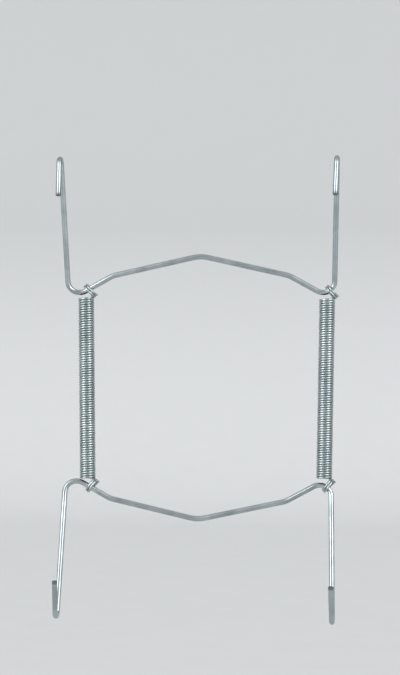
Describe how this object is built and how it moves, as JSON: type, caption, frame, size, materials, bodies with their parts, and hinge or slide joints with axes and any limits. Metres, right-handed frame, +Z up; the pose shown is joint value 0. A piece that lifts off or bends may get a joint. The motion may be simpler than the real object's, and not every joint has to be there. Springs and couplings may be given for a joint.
{
  "type": "wire plate hanger",
  "caption": "Bent wire frames with hooks, drawn together by coil springs so that they grip a plate's rim and hang it from a nail.",
  "frame": {"origin": "nail seat: underside of the upper wire at its middle bend", "axes": "+Z up the wall, +Y into the wall, +X to the right as seen from the front; the hooks face -Y"},
  "size_m": [0.0634, 0.0141, 0.103],
  "materials": {
    "zinc_plated_wire": "zinc plated drawn wire",
    "zinc_plated_spring": "zinc plated spring wire"
  },
  "bodies": {
    "upper": {"upper_wire": "zinc_plated_wire"},
    "springs": {"left_spring": "zinc_plated_spring", "right_spring": "zinc_plated_spring"},
    "lower": {"lower_wire": "zinc_plated_wire"}
  },
  "joints": [
    {"name": "spring_swing", "type": "hinge", "parent": "upper", "child": "springs", "pos_m": [0, -0.00005, -0.00676], "axis": [1, 0, 0], "range_deg": [-20, 30]},
    {"name": "stretch", "type": "slide", "parent": "springs", "child": "lower", "axis": [0, 0, -1], "range_m": [0, 0.066], "stiffness_N_per_m": 550, "springref_m": -0.004, "deforming": ["left_spring", "right_spring"]}
  ]
}
